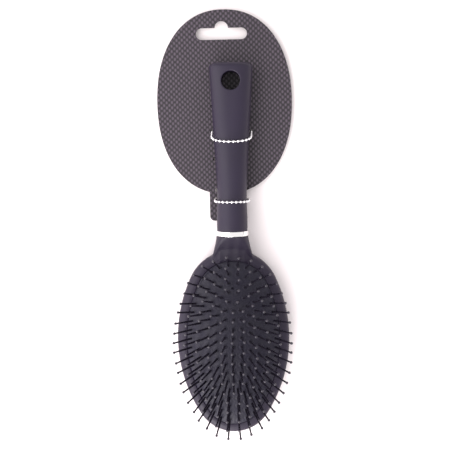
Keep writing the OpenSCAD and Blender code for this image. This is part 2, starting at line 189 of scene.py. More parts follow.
# The dome is a circle across the cushion, swept along a longer one.
ACROSS_R = (PAD_HALF_W**2 + DOME_H**2) / (2 * DOME_H)
ALONG_R = (PAD_HALF_LEN**2 + DOME_H**2) / (2 * DOME_H)
SWEEP_R = ALONG_R - ACROSS_R
SWEEP_Z = RIM_Z + DOME_H - ALONG_R


def dome_z(x, y):
    across = np.arcsin(np.clip(x / ACROSS_R, -1, 1))
    reach = SWEEP_R + ACROSS_R * np.cos(across)
    return SWEEP_Z + reach * np.cos(np.arcsin(np.clip(y / reach, -1, 1)))


# ---------- pieces from points ----------

def mesh_of(name, points, faces):
    """A mesh from points in millimetres."""
    mesh = bpy.data.meshes.new(name)
    mesh.from_pydata((np.asarray(points, float) * MM).tolist(), [], faces)
    return mesh


def add_object(name, data):
    thing = bpy.data.objects.new(name, data)
    bpy.context.scene.collection.objects.link(thing)
    return thing


def add_piece(name, mesh, material, replaces=(), body="brush"):
    """A mesh as a piece of the brush, riding on a body."""
    mesh.name = name
    mesh.materials.clear()
    mesh.materials.append(material)
    piece = add_object(name, mesh)
    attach(piece, body)
    if replaces:
        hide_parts(*replaces)
    return piece


def make_piece(name, points, faces, material, replaces=(), body="brush"):
    """A smooth-shaded piece from points in millimetres."""
    mesh = mesh_of(name, points, faces)
    mesh.update()
    mesh.polygons.foreach_set("use_smooth", [True] * len(mesh.polygons))
    return add_piece(name, mesh, material, replaces, body)


def close_seams(piece):
    """Joins points that lie on each other and turns all faces outwards."""
    shape = bmesh.new()
    shape.from_mesh(piece.data)
    bmesh.ops.remove_doubles(shape, verts=shape.verts, dist=1e-7)
    bmesh.ops.recalc_face_normals(shape, faces=shape.faces)
    shape.to_mesh(piece.data)
    shape.free()


def final_mesh(thing):
    """A new mesh of an object as its modifiers or curve settings leave it."""
    bpy.context.view_layer.update()
    return bpy.data.meshes.new_from_object(thing.evaluated_get(bpy.context.evaluated_depsgraph_get()))


def bore(piece, points, faces):
    """Cuts a closed shape out of a piece."""
    bit = add_object("bit", mesh_of("bit", points, faces))
    cut = piece.modifiers.new("bore", "BOOLEAN")
    cut.operation = "DIFFERENCE"
    cut.object = bit
    result = final_mesh(piece)
    piece.modifiers.clear()
    piece.data = result
    bpy.data.objects.remove(bit)


def ring_faces(rings, around, close_start=True, close_end=True):
    """Quads between rings of the same number of points, with the end rings closed by one face each."""
    faces = []
    for j in range(rings - 1):
        for i in range(around):
            k = (i + 1) % around
            faces.append((j * around + i, j * around + k, (j + 1) * around + k, (j + 1) * around + i))
    if close_start:
        faces.append(tuple(range(around - 1, -1, -1)))
    if close_end:
        faces.append(tuple(range((rings - 1) * around, rings * around)))
    return faces


def turned(profile, sides):
    """Points of a shape turned about Z from its [height, radius] profile, ring by ring."""
    turn = 2 * math.pi * np.arange(sides) / sides
    return np.array([[r * math.cos(t), r * math.sin(t), h] for h, r in profile for t in turn])


def placed(points, start, axis):
    """Points that were made along Z, moved to start at a point and to run along an axis."""
    turn = Vector((0, 0, 1)).rotation_difference(Vector(axis)).to_matrix()
    return points @ np.array(turn).T + np.asarray(start)


def joined(parts):
    """One list of points and faces from several."""
    points, faces, first = [], [], 0
    for some_points, some_faces in parts:
        points.append(some_points)
        faces += [tuple(first + i for i in face) for face in some_faces]
        first += len(some_points)
    return np.concatenate(points), faces


# ---------- skins of blended solids ----------
# A solid is a function of x, y and z that is negative inside and grows by about one for each
# millimetre outside.

def round_meet(a, b, r):
    """What two solids share, with the edge between them rounded."""
    return np.minimum(-r, np.maximum(a, b)) + np.hypot(np.maximum(a + r, 0), np.maximum(b + r, 0))


def fillet_join(a, b, r):
    """Both solids together, with a fillet in the corner between them."""
    return np.maximum(r, np.minimum(a, b)) - np.hypot(np.maximum(r - a, 0), np.maximum(r - b, 0))


def bar(u, v, half_u, half_v, roundness):
    """Outline with half sizes along u and v; roundness is 2 for an ellipse and more for a squarer shape."""
    share = ((np.abs(u) / half_u) ** roundness + (np.abs(v) / half_v) ** roundness) ** (1 / roundness)
    return (share - 1) * np.minimum(half_u, half_v)


def slopes(solid, p, reach):
    """How a solid's value changes along X, Y and Z at each point."""
    shift = np.eye(3) * reach
    return np.stack([solid(*(p + s).T) - solid(*(p - s).T) for s in shift], axis=1) / (2 * reach)


LEAST_SLOPE = 0.05


def skin_of(solid, low, high, cell):
    """Closed mesh of quads over a solid's surface, one point for each cell that the surface crosses."""
    start = np.array(low, float) - 1.5 * cell
    counts = np.ceil((np.array(high, float) - start) / cell).astype(int) + 3
    grid = np.meshgrid(*[start[a] + cell * np.arange(counts[a]) for a in range(3)], indexing="ij")
    values = solid(*grid)
    corners = np.array([(i, j, k) for i in (0, 1) for j in (0, 1) for k in (0, 1)])
    size = counts - 1
    full = sum((values < 0)[i:i + size[0], j:j + size[1], k:k + size[2]].astype(np.int8)
               for i, j, k in corners)
    crossed = (full > 0) & (full < 8)
    cells = np.argwhere(crossed)
    number = np.full(crossed.shape, -1)
    number[crossed] = np.arange(len(cells))
    total, hits = np.zeros((len(cells), 3)), np.zeros((len(cells), 1))
    for a in corners:
        for b in corners[(corners - a).sum(axis=1) == 1]:
            if np.abs(b - a).sum() != 1:
                continue
            at_a, at_b = values[tuple((cells + a).T)], values[tuple((cells + b).T)]
            cut = (at_a < 0) != (at_b < 0)
            share = np.where(cut, at_a / np.where(cut, at_a - at_b, 1), 0)[:, None]
            total += np.where(cut[:, None], a + share * (b - a), 0)
            hits += cut[:, None]
    points = start + cell * (cells + total / hits)
    # Each point starts in the middle of its cell's crossings and is then moved onto the surface.
    for _ in range(4):
        slope = slopes(solid, points, 0.02 * cell)
        step = (solid(*points.T) / np.maximum((slope**2).sum(axis=1), LEAST_SLOPE))[:, None] * slope
        points -= np.clip(step, -0.5 * cell, 0.5 * cell)
    faces = []
    for a in range(3):
        u, v = np.eye(3, dtype=int)[[(a + 1) % 3, (a + 2) % 3]]
        along = np.eye(3, dtype=int)[a]
        near = (values < 0)[tuple(slice(1 - along[k], counts[k] - 1) for k in range(3))]
        far = (values < 0)[tuple(slice(1, counts[k] - 1 + along[k]) for k in range(3))]
        at = np.argwhere(near != far) + 1 - along
        quad = np.stack([number[tuple((at - shift).T)] for shift in (u + v, v, 0 * u, u)], axis=1)
        outward = near[near != far]
        faces += np.where(outward[:, None], quad, quad[:, ::-1]).tolist()
    return points, faces


# ---------- materials ----------

def colour(hex_code):
    """Linear colour from an sRGB hex code."""
    parts = [int(hex_code[i:i + 2], 16) / 255 for i in (1, 3, 5)]
    return (*[p / 12.92 if p <= 0.04045 else ((p + 0.055) / 1.055) ** 2.4 for p in parts], 1.0)


def add(tree, kind, inputs=None, **settings):
    """Adds a node: settings are its properties, and inputs are its values, or the nodes and sockets
    that feed it."""
    node = tree.nodes.new(kind)
    for key, value in settings.items():
        setattr(node, key, value)
    for key, value in (inputs or {}).items():
        if isinstance(value, bpy.types.Node):
            value = next(socket for socket in value.outputs if socket.enabled)
        if isinstance(value, bpy.types.NodeSocket):
            tree.links.new(value, node.inputs[key])
        else:
            node.inputs[key].default_value = value
    return node


def patches(size):
    """Scale of a noise whose patches are about so many millimetres wide."""
    return 1 / (size * MM)


def new_material(name):
    """An empty material, its tree and the place on the piece in metres."""
    material = bpy.data.materials.new(name)
    material.use_nodes = True
    tree = material.node_tree
    tree.nodes.clear()
    return material, tree, add(tree, "ShaderNodeTexCoord").outputs["Object"]


def soft_touch_lacquer():
    """Soft-touch polyurethane lacquer sprayed over moulded ABS: a dull, even violet black with a broad soft
    shine, a fine spray grain and faint cloudy patches where it was handled."""
    material, tree, place = new_material("soft_touch_lacquer")
    cloud = add(tree, "ShaderNodeTexNoise", {"Vector": place, "Scale": patches(22.2), "Detail": 3})
    # The real spray grain is about 0.1 mm; it is drawn three times as coarse, so that it shows.
    grain = add(tree, "ShaderNodeTexNoise", {"Vector": place, "Scale": patches(0.303), "Detail": 1})
    tint = add(tree, "ShaderNodeMix", {"Factor": cloud, "A": colour("#170E23"), "B": colour("#1F142E")},
               data_type="RGBA")
    shine = add(tree, "ShaderNodeMapRange", {"Value": cloud, "From Min": 0.3, "From Max": 0.7,
                                            "To Min": 0.46, "To Max": 0.56})
    relief = add(tree, "ShaderNodeBump", {"Height": grain, "Distance": 0.012 * MM})
    shader = add(tree, "ShaderNodeBsdfPrincipled", {"Base Color": tint, "Roughness": shine, "Normal": relief,
                                                   "IOR": 1.45})
    add(tree, "ShaderNodeOutputMaterial", {"Surface": shader})
    return material


def moulded_rubber():
    """Natural rubber moulded in one skin: a flat violet black with a matt bloom that is a little uneven."""
    material, tree, place = new_material("moulded_rubber")
    bloom = add(tree, "ShaderNodeTexNoise", {"Vector": place, "Scale": patches(9.09), "Detail": 4})
    # The mould leaves a grain of about 0.1 mm; it is drawn four times as coarse, so that it shows.
    grain = add(tree, "ShaderNodeTexNoise", {"Vector": place, "Scale": patches(0.4), "Detail": 2})
    tint = add(tree, "ShaderNodeMix", {"Factor": bloom, "A": colour("#0A041D"), "B": colour("#110828")},
               data_type="RGBA")
    shine = add(tree, "ShaderNodeMapRange", {"Value": bloom, "From Min": 0.3, "From Max": 0.7,
                                            "To Min": 0.55, "To Max": 0.68})
    relief = add(tree, "ShaderNodeBump", {"Height": grain, "Distance": 0.02 * MM})
    shader = add(tree, "ShaderNodeBsdfPrincipled", {"Base Color": tint, "Roughness": shine, "Normal": relief,
                                                   "IOR": 1.52})
    add(tree, "ShaderNodeOutputMaterial", {"Surface": shader})
    return material


def moulded_nylon():
    """Black moulded nylon: smooth and a little waxy, with the ball painted lighter than the shaft as a
    painted highlight.
    """
    material, tree, place = new_material("moulded_nylon")
    tip = add(tree, "ShaderNodeAttribute", attribute_name="ball").outputs["Fac"]
    wax = add(tree, "ShaderNodeTexNoise", {"Vector": place, "Scale": patches(1.49), "Detail": 2})
    # The lighter colour on the ball is a painted highlight, standing in for the shine on the ball tips.
    tint = add(tree, "ShaderNodeMix", {"Factor": tip, "A": colour("#211D28"), "B": colour("#2D2934")},
               data_type="RGBA")
    shine = add(tree, "ShaderNodeMapRange", {"Value": wax, "From Min": 0.3, "From Max": 0.7,
                                            "To Min": 0.24, "To Max": 0.36})
    shader = add(tree, "ShaderNodeBsdfPrincipled", {"Base Color": tint, "Roughness": shine, "IOR": 1.53})
    add(tree, "ShaderNodeOutputMaterial", {"Surface": shader})
    return material


def chrome_plate(name, tint, low_rough, high_rough):
    """Bright chrome plate over steel: nearly a mirror, with faint polishing marks that spread its
    highlights."""
    material, tree, place = new_material(name)
    # Real polishing marks are finer than 0.1 mm; they are drawn coarser, so that they show.
    marks = add(tree, "ShaderNodeTexNoise", {"Vector": place, "Scale": patches(0.588), "Detail": 3})
    shine = add(tree, "ShaderNodeMapRange", {"Value": marks, "From Min": 0.3, "From Max": 0.7,
                                            "To Min": low_rough, "To Max": high_rough})
    relief = add(tree, "ShaderNodeBump", {"Height": marks, "Distance": 0.004 * MM})
    shader = add(tree, "ShaderNodeBsdfPrincipled", {"Base Color": colour(tint), "Metallic": 1.0,
                                                   "Roughness": shine, "Normal": relief})
    add(tree, "ShaderNodeOutputMaterial", {"Surface": shader})
    return material


def moulded_abs():
    """Grey moulded ABS: plain and matt, with a fine moulded grain."""
    material, tree, place = new_material("moulded_abs")
    flow = add(tree, "ShaderNodeTexNoise", {"Vector": place, "Scale": patches(12.5), "Detail": 2})
    # The mould leaves a grain of about 0.1 mm; it is drawn five times as coarse, so that it shows.
    grain = add(tree, "ShaderNodeTexNoise", {"Vector": place, "Scale": patches(0.5), "Detail": 2})
    tint = add(tree, "ShaderNodeMix", {"Factor": flow, "A": colour("#4A4751"), "B": colour("#54515B")},
               data_type="RGBA")
    shine = add(tree, "ShaderNodeMapRange", {"Value": grain, "From Min": 0.3, "From Max": 0.7,
                                            "To Min": 0.45, "To Max": 0.6})
    relief = add(tree, "ShaderNodeBump", {"Height": grain, "Distance": 0.02 * MM})
    shader = add(tree, "ShaderNodeBsdfPrincipled", {"Base Color": tint, "Roughness": shine, "Normal": relief,
                                                   "IOR": 1.53})
    add(tree, "ShaderNodeOutputMaterial", {"Surface": shader})
    return material


THREAD_PITCH = 2.35
THREAD_TURN = math.radians(47.2)


def woven_film():
    """Card faced with a film that is embossed and printed as a coarse weave: the crowns of its slanting
    threads are light dots on a dark ground. The edge and the back are the plain dark film."""
    material, tree, place = new_material("woven_film")
    # The crowns are narrower along one diagonal, and the fibres make their size uneven.
    narrowing, unevenness = 0.6, 1.6
    turns = 2 * math.pi / (THREAD_PITCH * MM)
    threads = add(tree, "ShaderNodeSeparateXYZ", {"Vector": add(tree, "ShaderNodeMapping", {
        "Vector": place, "Rotation": (0, 0, -THREAD_TURN), "Scale": (turns, turns, turns)})}).outputs
    warp = add(tree, "ShaderNodeMath", {0: threads[0]}, operation="COSINE")
    weft = add(tree, "ShaderNodeMath", {0: threads[1]}, operation="COSINE")
    apart = add(tree, "ShaderNodeMath", {0: threads[0], 1: threads[1]}, operation="SUBTRACT")
    narrow = add(tree, "ShaderNodeMath", {0: apart}, operation="COSINE")
    crowns = add(tree, "ShaderNodeMath", {0: warp, 1: weft}, operation="ADD")
    crowns = add(tree, "ShaderNodeMath", {0: narrow, 1: narrowing, 2: crowns}, operation="MULTIPLY_ADD")
    fibre = add(tree, "ShaderNodeTexNoise", {"Vector": place, "Scale": patches(1.11), "Detail": 3})
    height = add(tree, "ShaderNodeMath", {0: fibre, 1: unevenness, 2: crowns}, operation="MULTIPLY_ADD")
    crown = add(tree, "ShaderNodeMapRange", {"Value": height, "From Min": -0.8, "From Max": 3.0},
                interpolation_type="SMOOTHSTEP")
    way = add(tree, "ShaderNodeSeparateXYZ", {"Vector": add(tree, "ShaderNodeTexCoord").outputs["Normal"]})
    front = add(tree, "ShaderNodeMath", {0: way.outputs[2], 1: 0.7}, operation="GREATER_THAN")
    thread = add(tree, "ShaderNodeMath", {0: crown, 1: front}, operation="MULTIPLY")
    tint = add(tree, "ShaderNodeMix", {"Factor": thread, "A": colour("#140E16"), "B": colour("#524753")},
               data_type="RGBA")
    shine = add(tree, "ShaderNodeMapRange", {"Value": crown, "To Min": 0.55, "To Max": 0.4})
    relief = add(tree, "ShaderNodeBump", {"Height": thread, "Distance": 0.06 * MM})
    shader = add(tree, "ShaderNodeBsdfPrincipled", {"Base Color": tint, "Roughness": shine, "Normal": relief,
                                                   "IOR": 1.5})
    add(tree, "ShaderNodeOutputMaterial", {"Surface": shader})
    return material


LACQUER = soft_touch_lacquer()
RUBBER = moulded_rubber()
NYLON = moulded_nylon()
RING_CHROME = chrome_plate("ring_chrome", "#F2F0F1", 0.1, 0.18)
BEAD_CHROME = chrome_plate("bead_chrome", "#FAF8FA", 0.26, 0.36)
CARRIER_ABS = moulded_abs()
WOVEN_FILM = woven_film()


# ---------- head and grip ----------

def fillet_r(x, z):
    """Radius of the fillet between neck and head: small at the sides, larger up over the tongue."""
    rise, tongue_half_w, blend = 2.5, 11.0, 3.0
    up = np.clip((z - (RIM_Z - rise)) / rise, 0, 1)
    inwards = np.clip((tongue_half_w - np.abs(x)) / blend, 0, 1)
    return SIDE_FILLET_R + (TONGUE_FILLET_R - SIDE_FILLET_R) * up * inwards


def head_solid(x, y, z):
    """Head with its rim, the seat and the well under the cushion, the neck, the spigot and the tang."""
    edge = outside_oval(x, y)
    mid_z = RIM_Z - RIM_ROUND_H
    back = bar(np.maximum(edge + LAND_IN, 0), z - mid_z, LAND_IN + RIM_W, mid_z, 2)
    rim = bar(np.maximum(edge - RIM_W + RIM_ROUND_W, 0), z - mid_z, RIM_ROUND_W, RIM_ROUND_H, 2)
    shell = np.where(z < mid_z, back, rim)
    shell = fillet_join(shell, neck_solid(x, y, z), fillet_r(x, z))
    seat = round_meet(edge - PAD_GAP, LEDGE_Z - z, SEAT_CORNER_R)
    well = round_meet(edge + FLANGE_W + FLANGE_STEP, FLOOR_T - z, WELL_CORNER_R)
    shell = round_meet(shell, -np.minimum(seat, well), MOUTH_EDGE_R)
    return np.minimum(shell, spigot_solid(x, y, z))


def neck_solid(x, y, z):
    """Neck that swells from the ring into the head, with a flat tongue on its front."""
    flare = np.clip((RING_Y0 - y) / (NECK_LEN + NECK_ROOT_IN), 0, NECK_MOST_FLARE) ** NECK_CURVE
    half_w = NECK_W + (NECK_ROOT_W - NECK_W) * flare
    half_t = NECK_T - NECK_ROOT_THIN * flare
    side = bar(x, z - (NECK_Z - NECK_ROOT_DROP * flare), half_w, half_t, NECK_ROUNDNESS)
    tongue_y = PAD_HALF_LEN + RIM_W - TONGUE_IN
    slope = math.atan2(NECK_Z + NECK_T - TONGUE_DROP - RIM_Z, TONGUE_IN + NECK_LEN)
    tongue = (z - RIM_Z) * math.cos(slope) - (y - tongue_y) * math.sin(slope)
    neck = round_meet(side, tongue, TONGUE_EDGE_R)
    ends = np.maximum(y - RING_Y0, NECK_START_Y - y)
    return round_meet(neck, ends, NECK_EDGE_R)


def spigot_solid(x, y, z):
    """Oval spigot through the ring, and the tang inside the grip."""
    inset = RING_WALL - RING_PROUD + RING_GAP
    spigot = np.maximum(bar(x, z - NECK_Z, NECK_W - inset, NECK_T - inset, 2),
                        np.maximum(RING_Y0 - SPIGOT_ROOT - y, y - GRIP_Y0 + SPIGOT_GAP))
    tang = round_meet(np.abs(x) - TANG_HALF[0], np.abs(z - NECK_Z) - TANG_HALF[1], TANG_EDGE_R)
    tang = np.maximum(tang, np.maximum(GRIP_Y0 - SPIGOT_ROOT - y, y - GRIP_Y0 - TANG_LEN))
    return np.minimum(spigot, tang)


# The grip's half width, half thickness and roundness at a distance from the ring.

def grip_half_w(s):
    return GRIP_END_W - GRIP_TAPER * (GRIP_LEN - s) + GRIP_FLARE * np.exp(-((s / GRIP_FLARE_LEN) ** 2))


def grip_half_t(s):
    return GRIP_HALF_T + GRIP_SWELL * (1 - np.cos(np.pi * np.clip(s / GRIP_SWELL_LEN, 0, 1))) / 2


def grip_roundness(s):
    return GRIP_ROUNDNESS + GRIP_ROUNDNESS_GAIN * (s / GRIP_LEN) ** 2


def grip_solid(x, y, z):
    """Grip with its rounded end, the hang hole and the socket for the tang."""
    s = np.clip(y - GRIP_Y0, 0, GRIP_LEN)
    half_t = grip_half_t(s)
    side = bar(x, z - GRIP_Z0 - half_t, grip_half_w(s), half_t, grip_roundness(s))
    grip = round_meet(side, y - GRIP_Y1, GRIP_END_R)
    grip = round_meet(grip, GRIP_Y0 - y, GRIP_START_R)
    hole = np.hypot(x, y - HANG_Y) - HANG_R
    grip = round_meet(grip, -hole, HANG_EDGE_R)
    socket = round_meet(np.abs(x) - TANG_HALF[0] - TANG_GAP,
                        np.abs(z - NECK_Z) - TANG_HALF[1] - TANG_GAP, TANG_EDGE_R)
    return np.maximum(grip, -np.maximum(socket, y - GRIP_Y0 - TANG_LEN - TANG_END_GAP))


def make_head_and_grip():
    cell = 0.5
    for name, node, solid in (("head_shell", "head_body", head_solid), ("grip", "handle_grip", grip_solid)):
        low, high = box_mm(node)
        points, faces = skin_of(solid, low, high, cell)
        make_piece(name, points, faces, LACQUER, (node,))


# ---------- pins ----------

PIN_LEN = 17.5
PIN_BASE_R = 0.75
PIN_NECK_R = 0.5
PIN_BALL_R = 0.88
PIN_HEAD_R = 1.4
PIN_HEAD_T = 0.8
PIN_HEAD_GAP = 0.25
PIN_SIDES = 14


def pins_of(node):
    """Foot and direction of each pin of a CAD node; the foot is the bottom of the pin's head."""
    shape = bmesh.new()
    shape.from_mesh(frame["nodes"][node].data)
    bmesh.ops.remove_doubles(shape, verts=shape.verts, dist=1e-6)
    found, seen = [], set()
    for first in shape.verts:
        if first in seen:
            continue
        island, waiting = [], [first]
        seen.add(first)
        while waiting:
            vert = waiting.pop()
            island.append(vert.co / MM)
            for edge in vert.link_edges:
                other = edge.other_vert(vert)
                if other not in seen:
                    seen.add(other)
                    waiting.append(other)
        spots = np.array(island)
        axis = np.linalg.svd(spots - spots.mean(axis=0), full_matrices=False)[2][0]
        axis *= np.sign(axis[2])
        along = (spots - spots.mean(axis=0)) @ axis
        foot = spots[along < along.min() + 0.01].mean(axis=0)
        found.append((foot, axis))
    shape.free()
    return found


def make_pins():
    """Pins with a head under the rubber, a tapered shaft and a ball tip.
    Returns, for each node, where its pins leave the rubber."""
    under = RUBBER_T + PIN_HEAD_GAP + PIN_HEAD_T
    bevel, tiny = 0.1, 0.001
    profile = [(0, tiny), (0, PIN_HEAD_R - bevel), (bevel, PIN_HEAD_R), (PIN_HEAD_T - bevel, PIN_HEAD_R),
               (PIN_HEAD_T, PIN_HEAD_R - bevel), (PIN_HEAD_T, PIN_BASE_R), (under, PIN_BASE_R)]
    # The shaft stops a little short of the ball, and the ball starts a little wider, so that they blend.
    blend_len, blend_turn = 0.25, 0.25
    ball = PIN_LEN + under - PIN_BALL_R
    neck_turn = math.pi - math.asin(PIN_NECK_R / PIN_BALL_R)
    shaft_len = ball + PIN_BALL_R * math.cos(neck_turn) - blend_len - under
    for share in (0.3, 0.6, 0.85, 1.0):
        profile.append((under + shaft_len * share, PIN_BASE_R + (PIN_NECK_R - PIN_BASE_R) * share))
    first_ball_ring = len(profile)
    for turn in np.linspace(neck_turn - blend_turn, 0.0, 9):
        profile.append((ball + PIN_BALL_R * math.cos(turn), max(PIN_BALL_R * math.sin(turn), tiny)))
    pin = turned(profile, PIN_SIDES)
    faces = ring_faces(len(profile), PIN_SIDES)
    feet = {}
    for body, nodes in frame["record"]["behaviour"]["bodies"].items():
        for node in [n for n in nodes if n.endswith("pins") or "_pins_row_" in n]:
            found = pins_of(node)
            parts = [(placed(pin, foot, axis), faces) for foot, axis in found]
            feet[node] = np.array([foot + under * axis for foot, axis in found])
            points, all_faces = joined(parts)
            piece = make_piece(node.replace("_pins", "_bristles"), points, all_faces, NYLON,
                               (node,), body)
            # Marks the ball's points, where the nylon gets its painted highlight.
            painted_highlight_on_ball = np.repeat(np.arange(len(profile)) >= first_ball_ring, PIN_SIDES).astype(float)
            mark = piece.data.attributes.new("ball", "FLOAT", "POINT")
            mark.data.foreach_set("value", np.tile(painted_highlight_on_ball, len(parts)))
    return feet


# ---------- cushion ----------

COLLAR_H, COLLAR_AT, COLLAR_W = 0.28, 0.8, 0.45  # height, distance from the pin's middle, and width
DIP_D, DIP_AT, DIP_W = 0.16, 1.9, 0.6
VENT_FLARE, VENT_FLARE_D = 0.5, 0.25


def make_cushion(feet):
    """Domed rubber skin with a rolled edge, a collar round each pin and the air vent. The pins run
    through the skin, which has no holes for them under the collars."""
    step, steps = ((0.5, 110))
    overhang, roll = 0.2, 0.6
    low = RIM_Z - 0.02
    centre = np.array([0, BELLY_Y])
    edge, inner = oval_ring(overhang, step), oval_ring(-roll, step)
    flat = np.concatenate([centre + (inner - centre) * share for share in 1 - np.arange(steps) / steps])
    dome = np.column_stack([flat, collared(*flat.T, feet)])
    inner_z = dome_z(*inner.T)
    # The edge rolls over: it rises steeply at first and then eases into the dome.
    rolled = []
    for share in (0, 0.15, 0.35, 0.55, 0.75):
        rise = share * (1.3 - 0.3 * share)
        rolled.append(np.column_stack([edge + (inner - edge) * share, low + (inner_z - low) * rise]))
    under = []
    for share in (0.2, 0.45, 0.7, 0.9):
        spot = centre + (inner - centre) * share
        under.append(np.column_stack([spot, dome_z(*spot.T) - RUBBER_T]))
    under.append(np.column_stack([inner, np.full(len(inner), low)]))
    points = np.concatenate([*under, *rolled, dome])
    faces = ring_faces(len(points) // len(edge), len(edge))
    skin = make_piece("cushion_skin", points, faces, RUBBER, ("cushion_pad",))
    # The vent is a blind hole here, deep enough to look open, and it flares at its mouth.
    top, depth, above = dome_z(0, VENT_Y), 0.8 * RUBBER_T, 0.4
    profile = [(top - depth, VENT_R), (top - VENT_FLARE_D, VENT_R), (top + above, VENT_R + VENT_FLARE)]
    bore(skin, turned(profile, 24) + [0, VENT_Y, 0], ring_faces(len(profile), 24))
    return skin


def collared(x, y, feet):
    """Height of the dome, with a raised collar in a shallow dip round each pin's foot."""
    z = dome_z(x, y)
    for foot in feet:
        away = np.hypot(x - foot[0], y - foot[1])
        collar = COLLAR_H * np.exp(-((away - COLLAR_AT) / COLLAR_W) ** 2)
        dip = DIP_D * np.exp(-((away - DIP_AT) / DIP_W) ** 2)
        z = z + collar - dip
    return z


def make_cushion_edge():
    """Rubber edge that stands in the head's groove and is clamped on its ledge."""
    below_rim, outer_bevel, inner_bevel = 0.55, (0.2, 0.15), (0.4, 0.25)
    flange_z, top_z = LEDGE_Z + FLANGE_T, RIM_Z - below_rim
    profile = [(-FLANGE_W, LEDGE_Z), (0, LEDGE_Z), (0, top_z - outer_bevel[1]), (-outer_bevel[0], top_z),
               (inner_bevel[0] - RUBBER_T, top_z), (-RUBBER_T, top_z - inner_bevel[1]),
               (-RUBBER_T, flange_z), (-FLANGE_W, flange_z)]
    step = 1.0
    around = len(oval_ring(0, step))
    rings = [np.column_stack([oval_ring(distance, step), np.full(around, z)]) for distance, z in profile]
    points = np.concatenate([*rings, rings[0]])
    faces = ring_faces(len(rings) + 1, around, False, False)
    close_seams(make_piece("cushion_edge", points, faces, RUBBER))


# ---------- ring ----------

SEAM_X = 7.1
SLIT_W = 0.6


def make_ring():
    """Chrome strip rolled round the neck, with rounded edges and a slit where its ends meet."""
    length = RING_HIGH[1] - RING_LOW[1]
    half_w, half_t = RING_HIGH[0], NECK_T + RING_PROUD
    seam_turn, half_slit = math.acos(SEAM_X / half_w), SLIT_W / 2 / half_w
    turns = np.linspace(seam_turn + half_slit, seam_turn + 2 * math.pi - half_slit, 221)
    corner, waist = 0.5, 0.04
    front = [(length - corner + corner * math.cos(a), corner - corner * math.sin(a))
             for a in np.radians([0, 30, 60, 90])]
    middle = [(length * 0.7, -waist / 2), (length * 0.5, -waist), (length * 0.3, -waist / 2)]
    back = [(length - s, depth) for s, depth in front[::-1]]
    profile = [*front, *middle, *back, (0, RING_WALL - waist), (length, RING_WALL - waist)]
    sections = []
    for turn in turns:
        sections.append([[(half_w - depth - waist) * math.cos(turn), RING_Y0 + s,
                          NECK_Z + (half_t - depth - waist) * math.sin(turn)] for s, depth in profile])
    faces = ring_faces(len(turns), len(profile))
    close_seams(make_piece("neck_ring", np.concatenate(sections), faces, RING_CHROME,
                           ("ferrule_ring",)))


# ---------- card ----------

CARD_HALF = (42.4, 57.5)
CARD_ROUNDNESS = 2.2
CARD_MID = (-4.4, RING_Y0 + 83.2)
CARD_TURN = math.radians(0.55)
TAB_HALF_W = 10.5
TAB_LEN = 17.2
TAB_CORNER_R = 3.0
SLOT_LEN = 32.0
SLOT_H = 7.2
SLOT_X = -1.1
SLOT_DROP = 14.9
NOTCH_R = 4.2
TIE_HOLE_R = 1.3
SPARE_HOLES = [(7.6, -2), (6.8, -35.3), (5.9, -55)]  # half spacing, and place along the card
BEAD_R = 0.85
TIE_GAP = 0.3
UPPER_TIE = (55.9, 0.28)  # distance from the ring on the front of the grip, and slope of the loop
LOWER_TIE = (18.7, 0.0)


def tie_half_w(s):
    return grip_half_w(s) + BEAD_R + TIE_GAP


def tie_y(s, slope, z):
    """Place of a tie along the brush at a height; a sloping loop leans towards the end of the grip."""
    top = GRIP_Z0 + 2 * grip_half_t(s) + BEAD_R + TIE_GAP
    return GRIP_Y0 + s + slope * (top - np.maximum(z, CARD_LOW[2]))


def circle(x, y, r, count):
    turn = 2 * math.pi * np.arange(count) / count
    return np.stack([x + r * np.cos(turn), y + r * np.sin(turn)], axis=1)


def card_outline():
    """Oval with a tab that has two round corners, on the card's own axes."""
    power = 2 / CARD_ROUNDNESS
    start = math.acos((TAB_HALF_W / CARD_HALF[0]) ** (1 / power))
    turn = np.linspace(-start, math.pi + start, 140)
    c, v = np.cos(turn), np.sin(turn)
    oval_part = np.stack([CARD_HALF[0] * np.sign(c) * np.abs(c) ** power,
                          CARD_HALF[1] * np.sign(v) * np.abs(v) ** power], axis=1)
    corner = np.linspace(0, math.pi / 2, 9)
    left = np.stack([TAB_CORNER_R * (1 - np.cos(corner)) - TAB_HALF_W,
                     TAB_CORNER_R * (1 - np.sin(corner)) - CARD_HALF[1] - TAB_LEN], axis=1)
    return np.concatenate([oval_part, left, left[::-1] * [-1, 1]])


def slot_outline():
    """Hanging slot with a round notch over its middle."""
    half, r, notch_drop = (SLOT_LEN - SLOT_H) / 2, SLOT_H / 2, 0.1
    right = np.linspace(-math.pi / 2, math.pi / 2, 16)
    notch_start = math.asin(notch_drop / NOTCH_R)
    notch = np.linspace(notch_start, math.pi - notch_start, 20)
    outline = np.concatenate([
        np.stack([half + r * np.cos(right), r * np.sin(right)], axis=1),
        np.stack([NOTCH_R * np.cos(notch), r - notch_drop + NOTCH_R * np.sin(notch)], axis=1),
        np.stack([-half - r * np.cos(right), -r * np.sin(right)], axis=1)])
    return outline + [SLOT_X, CARD_HALF[1] - SLOT_DROP]


def turned_card(points):
    c, s = math.cos(CARD_TURN), math.sin(CARD_TURN)
    return points @ np.array([[c, s], [-s, c]]) + np.array(CARD_MID)


